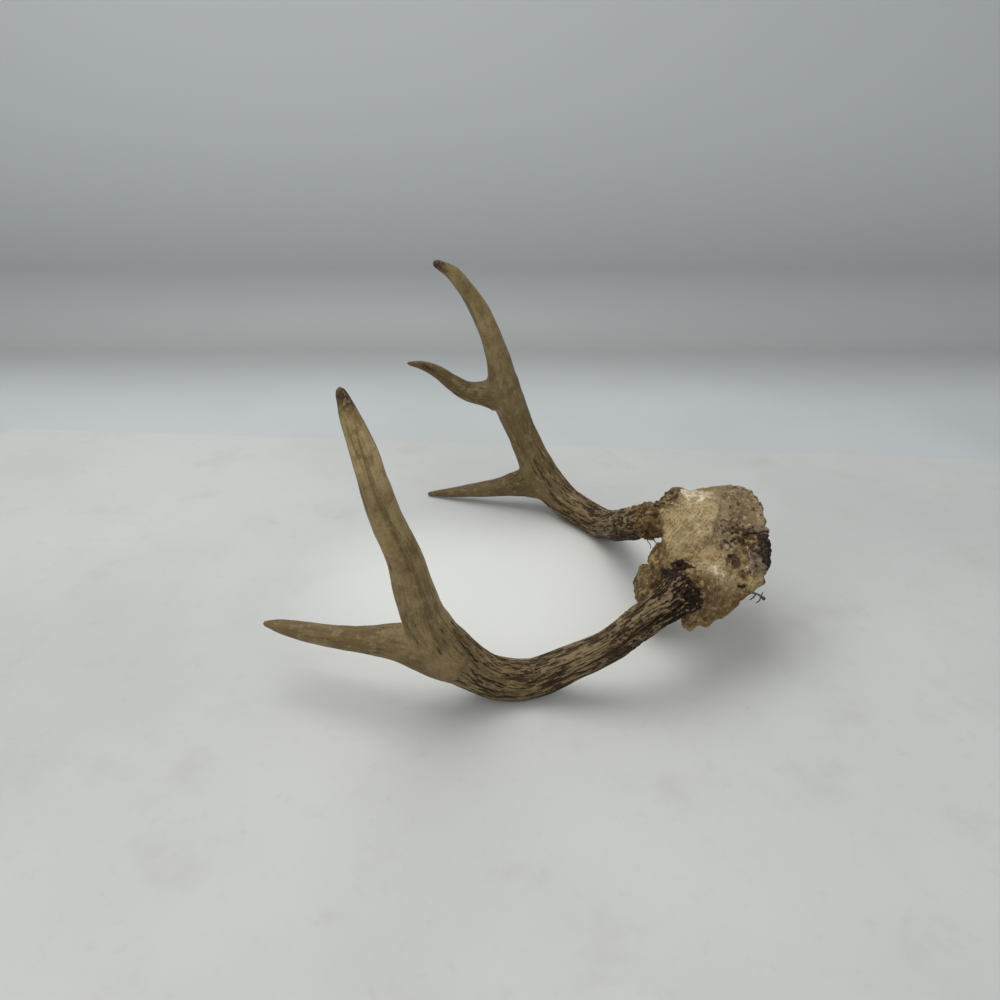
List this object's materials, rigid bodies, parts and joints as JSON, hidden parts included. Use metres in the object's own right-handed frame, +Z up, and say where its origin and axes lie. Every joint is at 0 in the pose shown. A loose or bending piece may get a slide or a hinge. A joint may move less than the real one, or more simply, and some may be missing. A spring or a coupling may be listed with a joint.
{
  "type": "deer antlers on skull plate",
  "caption": "Pair of deer antlers joined by their sawn skull plate, lying on the backs of both beam bends; a natural bone display or craft piece.",
  "frame": {"origin": "on the table under the middle of the whole rack as it rests", "axes": "+X towards the nose end of the skull plate, +Y towards the animal's left antler, +Z up from the table"},
  "size_m": [0.3255, 0.313, 0.2231],
  "materials": {
    "antler_beam": "dry antler, grooved and beaded, tan ridges over dark brown grooves",
    "antler_tip": "dry antler, smoother and paler, softly polished by wear",
    "skull_bone": "dry porous bone, stained brown, dark old stain at the front edge"
  },
  "bodies": {
    "root": {"skull_plate": "skull_bone", "right_beam": "antler_beam", "right_beam_tip": "antler_tip", "right_tine": "antler_tip", "left_beam": "antler_beam", "left_beam_middle": "antler_beam", "left_beam_tip": "antler_tip", "left_lower_tine": "antler_tip", "left_upper_tine": "antler_tip"}
  },
  "joints": []
}
